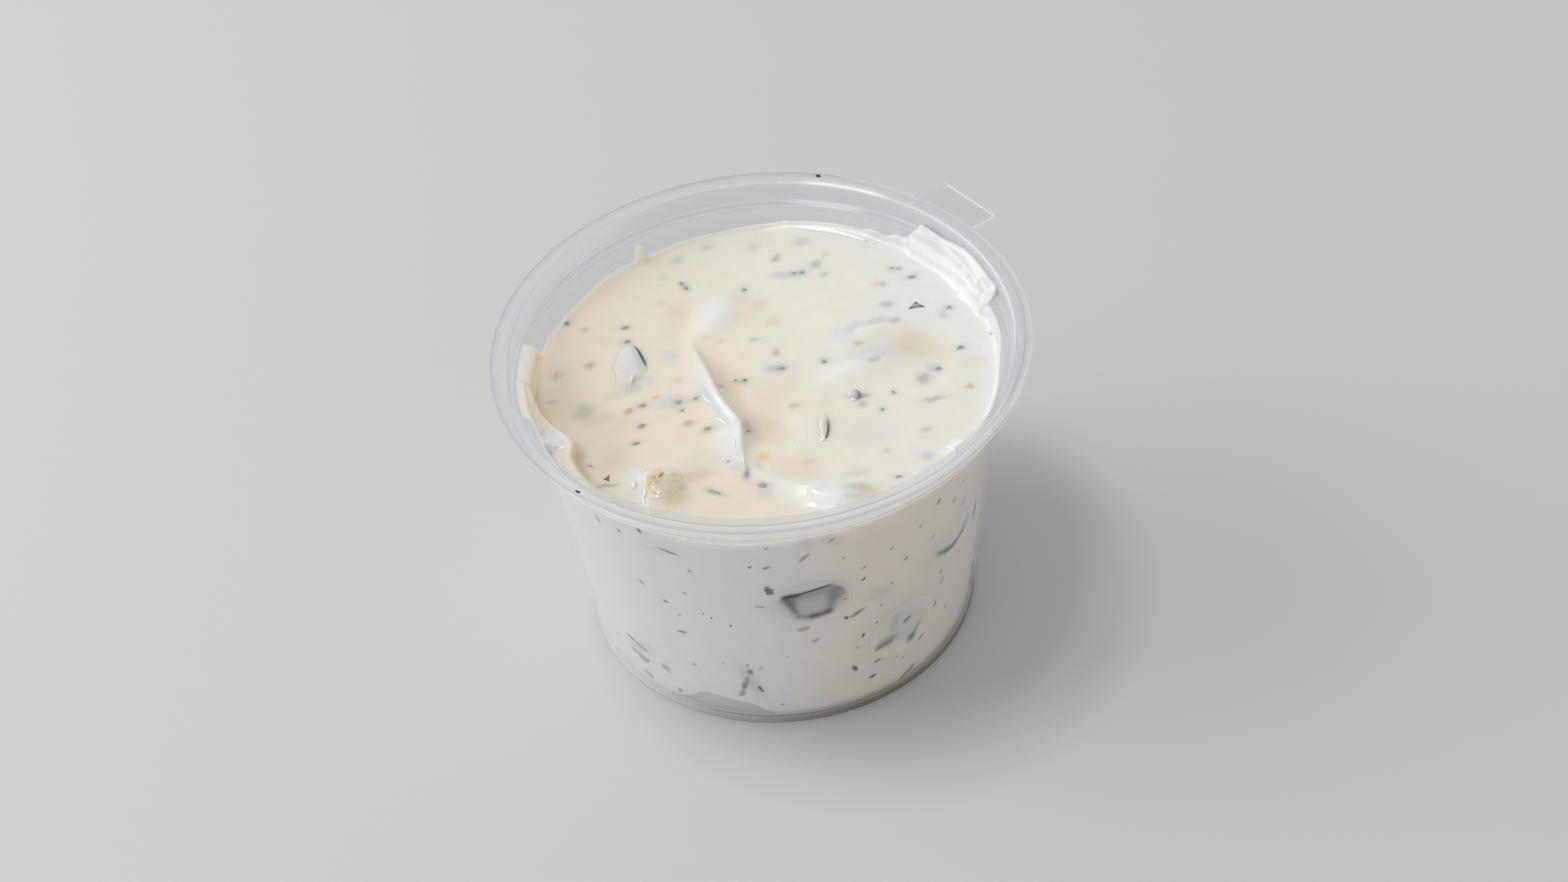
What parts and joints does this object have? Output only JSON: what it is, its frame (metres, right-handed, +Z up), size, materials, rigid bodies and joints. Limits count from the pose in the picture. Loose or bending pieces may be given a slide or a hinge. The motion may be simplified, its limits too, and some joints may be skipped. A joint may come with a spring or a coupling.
{
  "type": "tzatziki dip cup",
  "caption": "Cucumber and yoghurt dip in a tapered clear plastic portion cup with a flat rim and a hinge stub.",
  "frame": {"origin": "middle of the cup's base ring, on the surface it stands on", "axes": "+Z up along the cup's axis, +X to the right and +Y to the back as the open cup is seen from the front, with the hinge stub at the back right"},
  "size_m": [0.074, 0.074, 0.047],
  "materials": {
    "clear_plastic": "slightly frosted clear polypropylene, satin gloss",
    "yoghurt": "moist thick strained yoghurt, soft gloss",
    "cucumber": "wet pale flesh with a thin dark green skin"
  },
  "bodies": {
    "root": {"cup": "clear_plastic", "dip": "yoghurt", "cucumber_left": "cucumber", "cucumber_sliver": "cucumber", "cucumber_core": "cucumber", "cucumber_wall_front": "cucumber", "cucumber_wall_right": "cucumber", "cucumber_wall_high": "cucumber"}
  },
  "joints": []
}
